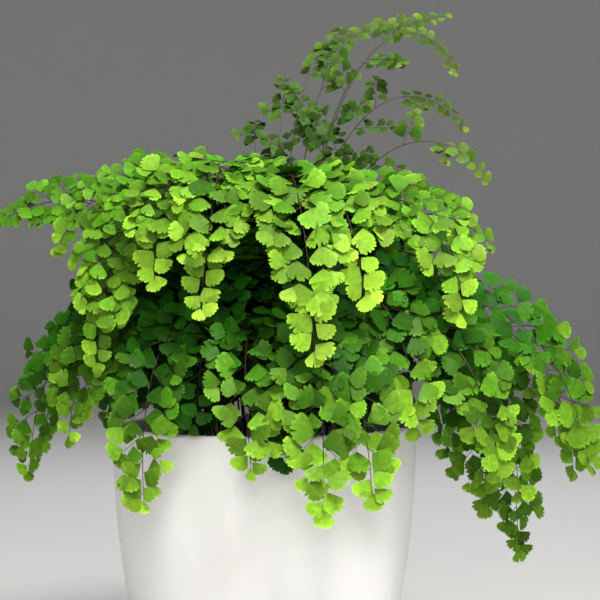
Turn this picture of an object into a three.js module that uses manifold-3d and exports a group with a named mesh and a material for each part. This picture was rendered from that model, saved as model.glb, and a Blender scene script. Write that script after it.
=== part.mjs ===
// A potted maidenhair fern: arching fronds of small fan-shaped leaflets on wiry stalks, rising from
// potting soil in a white glazed planter. Millimetres, +Z up, with -Y towards the viewer and +X to the
// viewer's right. The origin is the middle of the planter's flat base.

import * as THREE from "three";
import { mergeVertices } from "three/addons/utils/BufferGeometryUtils.js";
import Module from "manifold-3d";

const wasm = await Module();
wasm.setup();

// Planter: a tapered bowl whose side curves in faster and faster towards the base.
const POT_HEIGHT = 150;
const RIM_RADIUS = 83;
const POT_TAPER = 22.4;
const POT_TAPER_POWER = 2.25;
const WALL = 5;
const FLOOR = 7;
const RIM_ROUND = 2;
const BASE_ROUND = 6;
const POT_SEGMENTS = 32;
const OUTER_STEPS = 5;
const INNER_STEPS = 2;

// Soil: a shallow mound that fills the planter to a little below the rim. Its top has rings of points
// at these shares of the rim's radius, and is crumbled within the edge.
const SOIL_TOP = 130;
const SOIL_MOUND = 5;
const SOIL_CRUMB = 1.2;
const SOIL_RINGS = [0.8, 0.5];
const SOIL_EDGE = 0.9;
const GAP = 0.3;

// Stalks stand upright in plain square holes in the soil, and bend only above it. Every other one roots
// nearer to the axis. A stalk leans out by a share of its reach as it rises, and turns over at another
// share or, where its end hangs, further out. A stalk at the side turns its blade to the front, where the
// light comes from, on its way out. Below its leaflets it has bends at the shares listed.
const STALK = 1.8;
const STALK_TIP = 1.2;
const SUNK = 12;
const CLEAR_OF_SOIL = 1.5;
const HOLE = STALK + 2 * GAP;
const HOLE_HEIGHT = 3 * SUNK;
const ROOT_RINGS = [0.8, 1.2];
const LEAN = 0.1;
const TURN_OVER = 0.55;
const TO_LIGHT = 2.2;
const STALK_BENDS = [0, 0.1, 0.22];

// Leaflets: cut to the rib on alternate sides. One's outer corners are given by how far along its base
// and how far out they lie, as shares, and the end fan's by the angle from its axis and its reach.
const LEAFLET = 18;
const LEAFLET_BASE = 18;
const LEAFLET_THICK = 0.7;
const LEAFLET_OUTLINE = [
  [0.2, 0.58],
  [0.58, 1.0],
  [1.06, 0.8],
];
const END_FAN = [
  [-42, 0.86],
  [-15, 1.04],
  [15, 1.04],
  [42, 0.86],
];
const RIB_THICK = 1.2;
const RIB_SLIVER = 0.9;
const ARCH = 0.12;
const ROLL = 0.1;
const WAVE = 0.1;
const SIZE_SPREAD = 0.06;
const SIZES_TRIED = [1, 1, 0.9, 0.8, 0.7, 0.6];

// How far a blade turns from its rib's upper side towards the open: outwards, up and to the front.
const TO_OPEN = 0.9;
const TO_SKY = 0.35;
const TO_FRONT = 0.8;
const HEART = new THREE.Vector3(0, 0, 165);

// Room kept free round each rib and leaflet, and how far from its own rib that begins.
const RIB_MARGIN = 0.5;
const LEAFLET_MARGIN = 0.35;
const CLEAR_FROM = 0.12;
const SIDE_RIB_BARE = 8;

// Kinds of frond. bare is the share of the stalk with no leaflets, spread the length of the lowest side
// rib, branched the share of the blade that has side ribs, pitch the step between them, and leaflet the
// size of a leaflet as a share of the full size.
const KINDS = {
  canopy: { root: 18, bare: 0.36, spread: 74, branched: 0.6, pitch: 22, leaflet: 1 },
  middle: { root: 26, bare: 0.4, spread: 44, branched: 0.4, pitch: 20, leaflet: 1 },
  skirt: { root: 35, bare: 0.32, spread: 44, branched: 0.45, pitch: 22, leaflet: 1 },
  inner: { root: 48, bare: 0.18, spread: 36, branched: 0.6, pitch: 18, leaflet: 1 },
  spray: { root: 10, bare: 0.45, spread: 50, branched: 0.6, pitch: 18, leaflet: 0.8 },
};
const SIDE_RIB_ANGLE = THREE.MathUtils.degToRad(52);
const SIDE_RIB_DROOP = 0.008;
const SHORTEST_SIDE_RIB = 20;
const SEED = 11;

// Finishes: the young fronds on top are the brightest, and the ones in their shade the darkest.
const GLAZE_COLOUR = 0xf1f0ec;
const SOIL_COLOUR = 0x241a12;
const LEAF_COLOURS = {
  canopy: 0x78bf34,
  skirt: 0x559d2d,
  middle: 0x3f8427,
  inner: 0x33701f,
  spray: 0x84c63f,
};

// Fronds: kind, azimuth in degrees (0 to the front, 90 to the right), how far out the tip reaches from
// the planter's axis, the tip's height, the crest's height, and how steeply the end hangs, 0 to 1.
const FRONDS = [
  ["canopy", 10, 134, 196, 281, 1],
  ["canopy", -13, 124, 216, 287, 0.8],
  ["canopy", -44, 118, 186, 273, 1],
  ["canopy", 22, 130, 222, 274, 0.8],
  ["canopy", 50, 132, 213, 269, 0.8],
  ["canopy", -28, 116, 230, 278, 0.9],
  ["canopy", -62, 101, 208, 272, 0.9],
  ["canopy", -80, 112, 248, 270, 0.5],
  ["canopy", -100, 156, 260, 265, 0.3],
  ["canopy", 78, 113, 241, 261, 0.5],
  ["canopy", 108, 132, 250, 259, 0.5],
  ["canopy", 139, 126, 216, 260, 0.7],
  ["canopy", 170, 128, 213, 270, 0.8],
  ["canopy", -158, 130, 206, 266, 0.8],
  ["canopy", -128, 122, 214, 266, 0.7],
  ["skirt", -29, 119, 121, 206, 1],
  ["skirt", -3, 127, 140, 206, 1],
  ["skirt", 14, 138, 122, 212, 1],
  ["skirt", 22, 139, 128, 204, 1],
  ["skirt", 36, 126, 158, 222, 0.9],
  ["skirt", 53, 147, 137, 210, 0.9],
  ["skirt", 68, 180, 136, 219, 0.7],
  ["skirt", 82, 168, 128, 212, 0.9],
  ["skirt", 95, 141, 80, 196, 1],
  ["skirt", -56, 118, 150, 217, 0.9],
  ["skirt", -80, 128, 127, 205, 0.9],
  ["skirt", -104, 128, 146, 220, 0.8],
  ["skirt", -130, 124, 148, 206, 0.9],
  ["skirt", -156, 130, 130, 216, 0.9],
  ["skirt", 178, 132, 115, 208, 0.9],
  ["skirt", 153, 130, 132, 216, 0.9],
  ["skirt", 127, 138, 116, 209, 0.9],
  ["skirt", 76, 140, 118, 214, 0.9],
  ["skirt", 85, 120, 108, 202, 0.95],
  ["middle", -19, 97, 158, 234, 0.9],
  ["middle", 18, 106, 170, 244, 0.9],
  ["middle", 64, 118, 184, 244, 0.8],
  ["middle", -88, 98, 186, 248, 0.8],
  ["middle", -47, 98, 166, 236, 0.9],
  ["middle", 112, 104, 178, 242, 0.8],
  ["middle", 166, 102, 172, 240, 0.9],
  ["middle", -138, 102, 174, 242, 0.9],
  ["inner", 8, 102, 140, 190, 0.9],
  ["inner", 46, 78, 160, 186, 0.8],
  ["inner", 91, 76, 158, 184, 0.8],
  ["inner", 132, 76, 158, 184, 0.8],
  ["inner", 168, 76, 158, 184, 0.8],
  ["inner", -146, 76, 158, 184, 0.8],
  ["inner", -104, 76, 158, 184, 0.8],
  ["inner", -40, 77, 156, 184, 0.8],
  ["spray", 140, 64, 372, 330, 0.3],
  ["spray", 111, 110, 380, 344, 0.3],
  ["spray", -168, 42, 312, 302, 0.5],
  ["spray", 78, 120, 284, 294, 0.6],
  ["spray", 101, 112, 315, 318, 0.5],
  ["spray", 126, 78, 374, 338, 0.3],
  ["spray", 162, 46, 340, 312, 0.4],
  ["spray", 90, 104, 344, 349, 0.6],
];

const UP = new THREE.Vector3(0, 0, 1);

// A repeatable stream of numbers from 0 to 1.
function seeded(seed) {
  let state = seed >>> 0;
  return () => {
    state = (state + 0x6d2b79f5) >>> 0;
    let t = Math.imul(state ^ (state >>> 15), 1 | state);
    t = (t + Math.imul(t ^ (t >>> 7), 61 | t)) ^ t;
    return ((t ^ (t >>> 14)) >>> 0) / 4294967296;
  };
}

// The level direction at an azimuth, times a distance, as a point at the given height.
function around(azimuth, distance, height) {
  const a = THREE.MathUtils.degToRad(azimuth);
  return new THREE.Vector3(Math.sin(a) * distance, -Math.cos(a) * distance, height);
}

// The part of a vector that is square to a unit direction, made a unit vector.
function squareTo(vector, direction) {
  return vector.clone().addScaledVector(direction, -vector.dot(direction)).normalize();
}

// A thin leaf-like solid: a net of triangles with a normal and a thickness at each point, closed by the
// same net on its under side and by walls along its edges.
class Sheet {
  constructor() {
    this.points = [];
    this.faces = [];
  }

  add(point, normal, thick) {
    this.points.push({ point, normal, thick });
    return this.points.length - 1;
  }

  // A polygon that is seen whole from its first corner, its corners listed anticlockwise from above.
  fan([first, ...rest]) {
    for (let i = 0; i < rest.length - 1; i++) this.faces.push([first, rest[i], rest[i + 1]]);
  }

  // The band between two rows of points, each point with its distance along the band.
  band(left, right) {
    let i = 0;
    let j = 0;
    while (i < left.length - 1 || j < right.length - 1) {
      const leftNext = i < left.length - 1 ? left[i + 1].at : Infinity;
      const rightNext = j < right.length - 1 ? right[j + 1].at : Infinity;
      if (leftNext <= rightNext) {
        this.faces.push([left[i].index, right[j].index, left[i + 1].index]);
        i++;
      } else {
        this.faces.push([left[i].index, right[j].index, right[j + 1].index]);
        j++;
      }
    }
  }

  geometry() {
    const half = this.points.length;
    const positions = [1, -1].flatMap((side) =>
      this.points.flatMap(({ point, normal, thick }) =>
        point.clone().addScaledVector(normal, (side * thick) / 2).toArray(),
      ),
    );
    const edges = new Set(this.faces.flatMap(([a, b, c]) => [`${a},${b}`, `${b},${c}`, `${c},${a}`]));
    const index = this.faces.flatMap(([a, b, c]) => [a, b, c, half + c, half + b, half + a]);
    for (const edge of edges) {
      const [a, b] = edge.split(",").map(Number);
      if (!edges.has(`${b},${a}`)) index.push(a, half + a, half + b, a, half + b, b);
    }
    return new THREE.BufferGeometry()
      .setAttribute("position", new THREE.Float32BufferAttribute(positions, 3))
      .setIndex(index);
  }
}

// A closed geometry as a solid that can be joined and cut.
function solidOf(geometry) {
  const bare = geometry.clone();
  for (const name of ["normal", "uv"]) bare.deleteAttribute(name);
  const merged = mergeVertices(bare, 1e-4);
  return new wasm.Manifold(
    new wasm.Mesh({
      numProp: 3,
      vertProperties: new Float32Array(merged.attributes.position.array),
      triVerts: new Uint32Array(merged.index.array),
    }),
  );
}

function geometryOf(solid) {
  const { vertProperties, triVerts } = solid.getMesh();
  return new THREE.BufferGeometry()
    .setAttribute("position", new THREE.BufferAttribute(vertProperties, 3))
    .setIndex(new THREE.BufferAttribute(triVerts, 1));
}

// The planter's outer radius at a height: full at the rim, less the taper further down.
function potRadius(height) {
  return RIM_RADIUS - POT_TAPER * ((POT_HEIGHT - height) / POT_HEIGHT) ** POT_TAPER_POWER;
}

function arc(centre, radius, from, to, steps) {
  return Array.from({ length: steps + 1 }, (_, i) => {
    const a = THREE.MathUtils.degToRad(from + ((to - from) * i) / steps);
    return new THREE.Vector2(centre.x + radius * Math.cos(a), centre.y + radius * Math.sin(a));
  });
}

function side(from, to, steps, inset) {
  return Array.from({ length: steps + 1 }, (_, i) => {
    const height = from + ((to - from) * i) / steps;
    return new THREE.Vector2(potRadius(height) - inset, height);
  });
}

// A profile turned about the vertical axis.
function turned(profile) {
  return new THREE.LatheGeometry(profile, POT_SEGMENTS).rotateX(Math.PI / 2);
}

function potGeometry() {
  const foot = new THREE.Vector2(potRadius(BASE_ROUND) - BASE_ROUND, BASE_ROUND);
  const rim = new THREE.Vector2(RIM_RADIUS - RIM_ROUND, POT_HEIGHT - RIM_ROUND);
  const lip = new THREE.Vector2(RIM_RADIUS - WALL + RIM_ROUND, POT_HEIGHT - RIM_ROUND);
  return turned([
    new THREE.Vector2(0, 0),
    ...arc(foot, BASE_ROUND, -90, -20, 2),
    ...side(3 * BASE_ROUND, POT_HEIGHT - RIM_ROUND, OUTER_STEPS, 0),
    ...arc(rim, RIM_ROUND, 45, 90, 1),
    ...arc(lip, RIM_ROUND, 90, 180, 1),
    ...side(SOIL_TOP, FLOOR, INNER_STEPS, WALL),
    new THREE.Vector2(0, FLOOR),
  ]);
}

// The soil's height: a low mound with crumbs, the same wherever it is asked.
function soilHeight(x, y) {
  const share = Math.min(1, Math.hypot(x, y) / RIM_RADIUS);
  const crumb = Math.sin(0.31 * x + 1.7) * Math.cos(0.27 * y - 0.6) + Math.sin(0.11 * x - 0.19 * y);
  return SOIL_TOP + SOIL_MOUND * (1 - share * share) + SOIL_CRUMB * crumb * (1 - share ** 6);
}

function soilGeometry(feet) {
  const base = FLOOR + GAP;
  const [wallFoot, ...wall] = side(FLOOR, SOIL_TOP, INNER_STEPS, WALL + GAP);
  const rings = SOIL_RINGS.map((share) => new THREE.Vector2(RIM_RADIUS * share, SOIL_TOP));
  const geometry = turned([
    new THREE.Vector2(0, base),
    new THREE.Vector2(wallFoot.x, base),
    ...wall,
    ...rings,
    new THREE.Vector2(0, SOIL_TOP),
  ]);
  const spots = geometry.attributes.position;
  for (let i = 0; i < spots.count; i++) {
    const [x, y, z] = [spots.getX(i), spots.getY(i), spots.getZ(i)];
    const onTop = z > SOIL_TOP - GAP && Math.hypot(x, y) < SOIL_EDGE * RIM_RADIUS;
    if (onTop) spots.setZ(i, soilHeight(x, y));
  }
  const holes = feet.map(({ point, azimuth }) =>
    solidOf(
      new THREE.BoxGeometry(HOLE, HOLE, HOLE_HEIGHT)
        .rotateZ(THREE.MathUtils.degToRad(azimuth))
        .translate(point.x, point.y, point.z - GAP + HOLE_HEIGHT / 2),
    ),
  );
  return geometryOf(holes.reduce((soil, hole) => soil.subtract(hole), solidOf(geometry)));
}

// The line of a frond's stalk: straight up out of the soil, over the crest and out to the tip. A cubic
// curve's middle lies three quarters of the way to its handles, which gives the handles' height.
function stalkCurve([kind, azimuth, reach, tip, crest, hang], number) {
  const root = KINDS[kind].root * ROOT_RINGS[number % 2];
  const start = around(azimuth, root, 0);
  start.z = soilHeight(start.x, start.y) + CLEAR_OF_SOIL;
  const handles = (crest - (start.z + tip) / 8) / 0.75;
  const over = root + (reach - root) * (TURN_OVER + (1 - TURN_OVER) * hang);
  return new THREE.CubicBezierCurve3(
    start,
    around(azimuth, root + (reach - root) * LEAN, handles),
    around(azimuth, over, handles),
    around(azimuth, reach, tip),
  );
}

// A rib's frame at a point: forwards along it, its upper side, and its right.
function frame(point, forward, upper) {
  const up = squareTo(upper, forward);
  return { point, forward, up, right: forward.clone().cross(up) };
}

// Frames along a frond's stalk. Its upper side turns with it in its own upright plane, so that it looks
// at the plant's axis while it rises, up where it lies level, and outwards where it hangs. Further out
// and further to the side, it turns to the front as well.
function stalkFrames(frond, number) {
  const curve = stalkCurve(frond, number);
  const level = around(frond[1], 1, 0);
  const across = level.clone().cross(UP);
  return {
    length: curve.getLength(),
    at(share) {
      const forward = curve.getTangentAt(share);
      const upper = across.clone().cross(forward);
      upper.y -= TO_LIGHT * share * Math.abs(level.x);
      return frame(curve.getPointAt(share), forward, upper);
    },
  };
}

// Frames along a side rib, which leaves at an angle and bends down with its length.
function sideRibFrames(parent, hand, length) {
  const start = parent.forward
    .clone()
    .multiplyScalar(Math.cos(SIDE_RIB_ANGLE))
    .addScaledVector(parent.right, hand * Math.sin(SIDE_RIB_ANGLE));
  return {
    length,
    at(share) {
      const run = share * length;
      const point = parent.point.clone().addScaledVector(start, run);
      point.addScaledVector(UP, (-SIDE_RIB_DROOP * run * run) / 2);
      const forward = start.clone().addScaledVector(UP, -SIDE_RIB_DROOP * run).normalize();
      return frame(point, forward, parent.up);
    },
  };
}

// A rib's frame turned to how its blade lies: its upper side turned towards the open.
function bladeFrame({ point, forward, up }) {
  const outwards = point.clone().sub(HEART).normalize();
  const open = up
    .clone()
    .addScaledVector(outwards, TO_OPEN)
    .addScaledVector(UP, TO_SKY)
    .add(new THREE.Vector3(0, -TO_FRONT, 0));
  return frame(point, forward, open);
}

// A point beside a frame: so far along, so far to the right, and so far up.
function beside({ point, forward, right, up }, along, across, above) {
  return point
    .clone()
    .addScaledVector(forward, along)
    .addScaledVector(right, across)
    .addScaledVector(up, above);
}

// What is already taken up: thin solids, each with its box. A new one is tried against them.
class Space {
  constructor() {
    this.taken = [];
  }

  // Whether a room meets nothing but the rib that it grows from.
  free(room, ownRib) {
    return !this.taken.some(
      (other) =>
        other.rib !== ownRib &&
        other.box.intersectsBox(room.box) &&
        other.solid.intersect(room.solid).volume() > 0,
    );
  }

  take(room, rib) {
    this.taken.push({ ...room, rib });
  }
}

function roomOf(geometry) {
  geometry.computeBoundingBox();
  return { box: geometry.boundingBox, solid: solidOf(geometry) };
}

// The room that a leaflet needs: from its own rib, which it starts clear of, round its outer corners.
function leafletRoom({ point, up }, corners, [from, to]) {
  const sheet = new Sheet();
  const near = (start, corner) => start.clone().lerp(corner, CLEAR_FROM);
  const ring = [near(from, corners[0]), ...corners, near(to, corners.at(-1))];
  const add = (corner) => sheet.add(corner, up, LEAFLET_THICK + 2 * LEAFLET_MARGIN);
  sheet.fan([add(near(point, corners[1])), ...ring.map(add)]);
  return roomOf(sheet.geometry());
}

// The room along a stretch of rib.
function ribRoom(from, to, width) {
  const sheet = new Sheet();
  const wide = width + 2 * RIB_MARGIN;
  const corners = [
    [from, 1],
    [to, 1],
    [to, -1],
    [from, -1],
  ].map(([at, hand]) =>
    sheet.add(at.point.clone().addScaledVector(at.right, (hand * wide) / 2), at.up, wide),
  );
  sheet.fan(corners);
  return roomOf(sheet.geometry());
}

// The rooms between one stop and the next along a rib.
function ribRooms(rib, stops, width) {
  return stops.slice(1).map((stop, i) => ribRoom(rib.at(stops[i]), rib.at(stop), width));
}

// A side leaflet's outer corners, anticlockwise from above, from the frame at the middle of its base.
function sideCorners(at, hand, size, base, random) {
  const corners = LEAFLET_OUTLINE.map(([along, out], i) => {
    const wave = WAVE * (2 * random() - 1);
    const above = size * (ROLL * (i - 1) + wave - ARCH * out);
    return beside(at, (along - 0.5) * base, hand * out * size, above);
  });
  return hand > 0 ? corners : corners.reverse();
}

// The end leaflet's outer corners, anticlockwise from above.
function endCorners(at, size, random) {
  const arch = -ARCH * size;
  return [...END_FAN].reverse().map(([turn, reach]) => {
    const angle = THREE.MathUtils.degToRad(turn);
    const wave = WAVE * size * (2 * random() - 1);
    return beside(at, size * reach * Math.cos(angle), size * reach * Math.sin(angle), arch + wave);
  });
}

// The two ends of a side leaflet's base, anticlockwise from above.
function sideEnds(rib, { at: share, hand, base }) {
  const at = bladeFrame(rib.at(share));
  return [-1, 1].map((end) => beside(at, (end * hand * base) / 2, 0, 0));
}

// The end leaflet's base: the last stretch of rib that is free on one side.
function endEnds(rib, spots, from) {
  const tip = rib.at(1).point;
  if (!spots.length) return [rib.at(from).point, rib.at(from).point];
  const before = rib.at(spots.at(-1).at).point;
  return spots.at(-1).hand < 0 ? [before, tip] : [tip, before];
}

// Finds a size at which a leaflet has room, and takes it. Null if there is none.
function placeLeaflet(space, rib, { at: share, hand, base }, ends, scale, random) {
  const at = bladeFrame(rib.at(share));
  for (const part of SIZES_TRIED) {
    const size = LEAFLET * scale * part * (1 + SIZE_SPREAD * (2 * random() - 1));
    const corners = hand ? sideCorners(at, hand, size, base, random) : endCorners(at, size, random);
    const room = leafletRoom(at, corners, ends);
    if (space.free(room, rib)) {
      space.take(room, rib);
      return { corners, up: at.up };
    }
  }
  return null;
}

// Where the leaflets of a rib lie, from one place on it to its end: half a base from each to the next.
function leafletSpots(rib, from, hand, scale) {
  const steps = Math.max(1, Math.round(((1 - from) * rib.length * 2) / (LEAFLET_BASE * scale)));
  const step = (1 - from) / steps;
  return Array.from({ length: steps - 1 }, (_, i) => ({
    at: from + (i + 1) * step,
    hand: i % 2 ? -hand : hand,
    base: 2 * step * rib.length,
  }));
}

function planBlade(space, rib, spots, from, scale, random) {
  const leaflets = spots.map((spot) => ({
    ...spot,
    leaflet: placeLeaflet(space, rib, spot, sideEnds(rib, spot), scale, random),
  }));
  const last = { at: 1, hand: 0 };
  const end = placeLeaflet(space, rib, last, endEnds(rib, spots, from), scale, random);
  return { rib, leaflets, end };
}

// Plans a side rib: bare where it leaves the stalk, then its leaflets. Null if it has no room.
function planSideRib(space, rib, hand, scale, random) {
  const bare = SIDE_RIB_BARE / rib.length;
  const spots = leafletSpots(rib, bare, hand, scale);
  const stops = [bare / 3, bare, ...spots.map(({ at }) => at), 1];
  const rooms = ribRooms(rib, stops, RIB_THICK);
  if (!rooms.every((room) => space.free(room, rib))) return null;
  rooms.forEach((room) => space.take(room, rib));
  return { ...planBlade(space, rib, spots, bare, scale, random), bare };
}

// Where side ribs leave a stalk: its share of the length, its hand and its own length.
function stations(kind, length) {
  const { bare, spread, branched, pitch } = KINDS[kind];
  const blade = 1 - bare;
  const count = Math.round((length * blade * branched) / pitch);
  return Array.from({ length: count }, (_, i) => ({
    at: bare + (blade * branched * i) / count,
    hand: i % 2 ? 1 : -1,
    reach: Math.max(SHORTEST_SIDE_RIB, spread * (1 - i / count)),
  }));
}

// Where a stalk's own leaflets begin, past its side ribs.
function bladeStart(kind) {
  const { bare, branched } = KINDS[kind];
  return bare + (1 - bare) * branched;
}

function stalkSpots(kind, stalk, number) {
  return leafletSpots(stalk, bladeStart(kind), mirror(number), KINDS[kind].leaflet);
}

// Every other frond has its first side rib on the right.
function mirror(number) {
  return number % 2 ? 1 : -1;
}

// Plans a frond: side ribs, shorter and shorter, and then leaflets on the stalk itself.
function planFrond(space, kind, number, stalk) {
  const { leaflet } = KINDS[kind];
  const random = seeded(SEED + number);
  const branches = stations(kind, stalk.length).map(({ at, hand, reach }) => {
    const side = hand * mirror(number);
    const rib = sideRibFrames(stalk.at(at), side, reach);
    return { at, hand: side, plan: planSideRib(space, rib, side, leaflet, random) };
  });
  const spots = stalkSpots(kind, stalk, number);
  const from = bladeStart(kind);
  return { branches, from, ...planBlade(space, stalk, spots, from, leaflet, random) };
}

// A pair of points across a rib, left and right.
function addPair(sheet, at, width) {
  return [-1, 1].map((hand) => sheet.add(beside(at, 0, (hand * width) / 2, 0), at.up, width));
}

// The leaflets of a rib, cut to its middle line, on from a pair of points across it.
function growBlade(sheet, [left, right], { rib, leaflets, end }) {
  const shares = [...leaflets.map(({ at }) => at), 1];
  const line = shares.map((share) => {
    const { point, up } = bladeFrame(rib.at(share));
    return sheet.add(point, up, RIB_THICK);
  });
  sheet.faces.push([left, right, line[0]]);
  leaflets.forEach(({ at, hand, leaflet }, i) => {
    const before = i > 0 ? line[i - 1] : hand > 0 ? right : left;
    const ends = hand > 0 ? [before, line[i + 1]] : [line[i + 1], before];
    const frameHere = bladeFrame(rib.at(at));
    const corners = leaflet
      ? leaflet.corners.map((point) => sheet.add(point, leaflet.up, LEAFLET_THICK))
      : [sheet.add(beside(frameHere, 0, hand * RIB_SLIVER, 0), frameHere.up, RIB_THICK)];
    sheet.fan([line[i], ends[0], ...corners, ends[1]]);
  });
  if (end) growEnd(sheet, line, leaflets, [left, right], end);
}

// The end leaflet, on the side of the last stretch of rib that is still free.
function growEnd(sheet, line, leaflets, [left, right], end) {
  const outer = end.corners.map((point) => sheet.add(point, end.up, LEAFLET_THICK));
  const tip = line.at(-1);
  if (!leaflets.length) {
    sheet.fan([tip, right, ...outer, left]);
  } else if (leaflets.at(-1).hand < 0) {
    sheet.fan([tip, line.at(-2), ...outer]);
  } else {
    sheet.fan([tip, ...outer, line.at(-2)]);
  }
}

// Grows a stalk as a band from its foot to where its own leaflets begin, with its side ribs.
function growStalk(sheet, foot, { rib, branches, from }) {
  const widthAt = (share) => STALK + (STALK_TIP - STALK) * share;
  const rows = { [-1]: [{ at: -1, index: foot[0] }], 1: [{ at: -1, index: foot[1] }] };
  const step = (share, hand) => {
    const at = rib.at(share);
    const index = sheet.add(beside(at, 0, (hand * widthAt(share)) / 2, 0), at.up, widthAt(share));
    rows[hand].push({ at: share, index });
    return index;
  };
  const stops = [...STALK_BENDS, from].map((at) => ({ at }));
  for (const { at, hand, plan } of [...stops, ...branches].sort((a, b) => a.at - b.at)) {
    if (!plan) {
      step(at, -1);
      step(at, 1);
      continue;
    }
    const half = widthAt(at) / 2 / rib.length;
    const [near, far] = [at - half, at + half].map((share) => step(share, hand));
    step(at, -hand);
    growSideRib(sheet, hand > 0 ? [far, near] : [near, far], plan);
  }
  sheet.band(rows[-1], rows[1]);
  return [rows[-1].at(-1).index, rows[1].at(-1).index];
}

function growSideRib(sheet, [left, right], plan) {
  const pair = addPair(sheet, bladeFrame(plan.rib.at(plan.bare)), RIB_THICK);
  sheet.fan([left, right, pair[1], pair[0]]);
  growBlade(sheet, pair, plan);
}

// The foot of a stalk: straight below where it comes out of the soil.
function footOf(stalk) {
  const { point, up } = stalk.at(0);
  return frame(point.clone().addScaledVector(UP, -SUNK - CLEAR_OF_SOIL), UP, up);
}

function frondGeometry(plan) {
  const sheet = new Sheet();
  const foot = addPair(sheet, footOf(plan.rib), STALK);
  growBlade(sheet, growStalk(sheet, foot, plan), plan);
  return sheet.geometry();
}

function mesh(name, geometry, colour, roughness) {
  const made = new THREE.Mesh(geometry, new THREE.MeshStandardMaterial({ color: colour, roughness }));
  made.name = name;
  return made;
}

function fern() {
  const space = new Space();
  const pot = potGeometry();
  space.take(roomOf(pot), "pot");
  const stalks = FRONDS.map((frond, number) => stalkFrames(frond, number));
  stalks.forEach((stalk, number) => {
    const kind = FRONDS[number][0];
    const sides = stations(kind, stalk.length).map(({ at }) => at);
    const own = stalkSpots(kind, stalk, number).map(({ at }) => at);
    const stops = [...STALK_BENDS, ...sides, bladeStart(kind), ...own, 1];
    ribRooms(stalk, stops, STALK).forEach((room) => space.take(room, stalk));
  });
  const plans = stalks.map((stalk, number) => planFrond(space, FRONDS[number][0], number, stalk));
  const feet = stalks.map((stalk, number) => ({
    point: footOf(stalk).point,
    azimuth: FRONDS[number][1],
  }));
  const group = new THREE.Group();
  group.add(mesh("pot", pot, GLAZE_COLOUR, 0.25));
  group.add(mesh("soil", soilGeometry(feet), SOIL_COLOUR, 0.95));
  plans.forEach((plan, number) => {
    const kind = FRONDS[number][0];
    const name = `${kind}_frond_${String(number + 1).padStart(2, "0")}`;
    group.add(mesh(name, frondGeometry(plan), LEAF_COLOURS[kind], 0.5));
  });
  return group;
}

export default fern();
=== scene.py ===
"""A potted maidenhair fern: strings of thin fan-shaped leaflets on wiry dark stalks, which arch out of
potting soil in a white glazed planter. Metres, +Z up, with -Y towards the viewer. Ribs are worked out
along the same curves as the solids that they stand for, and carry leaflets of true size."""

from typing import NamedTuple

import bpy
import numpy as np
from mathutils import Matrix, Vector


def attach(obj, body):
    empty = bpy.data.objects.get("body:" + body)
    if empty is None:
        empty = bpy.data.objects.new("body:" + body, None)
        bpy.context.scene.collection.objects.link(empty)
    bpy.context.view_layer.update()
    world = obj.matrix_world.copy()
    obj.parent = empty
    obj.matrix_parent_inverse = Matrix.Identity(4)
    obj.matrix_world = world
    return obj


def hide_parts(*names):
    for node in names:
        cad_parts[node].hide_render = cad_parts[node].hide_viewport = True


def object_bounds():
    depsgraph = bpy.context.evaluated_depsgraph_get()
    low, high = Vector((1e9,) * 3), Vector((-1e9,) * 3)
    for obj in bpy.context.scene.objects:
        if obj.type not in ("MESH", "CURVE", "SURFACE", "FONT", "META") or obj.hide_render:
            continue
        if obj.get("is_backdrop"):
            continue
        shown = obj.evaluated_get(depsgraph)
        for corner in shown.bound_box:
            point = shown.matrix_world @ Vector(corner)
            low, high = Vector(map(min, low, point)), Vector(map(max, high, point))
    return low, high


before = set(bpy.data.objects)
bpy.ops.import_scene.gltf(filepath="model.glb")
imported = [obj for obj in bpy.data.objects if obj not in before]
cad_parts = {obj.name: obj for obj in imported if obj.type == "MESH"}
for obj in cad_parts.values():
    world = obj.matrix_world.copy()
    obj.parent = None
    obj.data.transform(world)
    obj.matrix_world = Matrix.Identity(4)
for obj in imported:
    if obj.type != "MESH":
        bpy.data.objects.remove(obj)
cad_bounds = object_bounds()

MM = 0.001
UP = np.array([0.0, 0.0, 1.0])
SEED = 11

# Planter: a tapered bowl whose side curves in faster and faster towards the base. Inside, the curve starts
# a little above the soil. Arcs have a first and a last angle in degrees, and steps.
POT_HEIGHT = 150 * MM
RIM_RADIUS = 83 * MM
POT_TAPER = 22.4 * MM
POT_TAPER_POWER = 2.25
WALL = 5 * MM
FLOOR_THICK = 7 * MM
RIM_ROUND = 2 * MM
BASE_ROUND = 6 * MM
BARE_INSIDE = 2 * MM
BASE_ARC = (-90, -12, 10)
RIM_ARC_OUTSIDE = (8, 90, 7)
RIM_ARC_INSIDE = (98, 180, 7)
POT_SEGMENTS = 160
SIDE_STEPS = 60
INNER_STEPS = 30

# Soil: a shallow mound a little below the rim, broken up by crumbs. Its low waves are given in radians a
# millimetre, those in x and in y with a start.
SOIL_TOP = 130 * MM
SOIL_MOUND = 5 * MM
SOIL_SWELL = 1.2 * MM
SWELL_IN_X = (0.31, 1.7)
SWELL_IN_Y = (0.27, -0.6)
SWELL_ASLANT = (0.11, -0.19)
SWELL_FADE = 6
SOIL_CRUMB = 1.5 * MM
CRUMB_LENGTH = 9 * MM
CRUMB_OCTAVES = 4
CRUMB_WAVES = 5
CRUMB_LEVEL = 0.9
CRUMB_FADE = 6 * MM
SOIL_RINGS = 70
SOIL_WALL_RINGS = 12
SOIL_SEGMENTS = 240
GAP = 0.3 * MM

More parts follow.
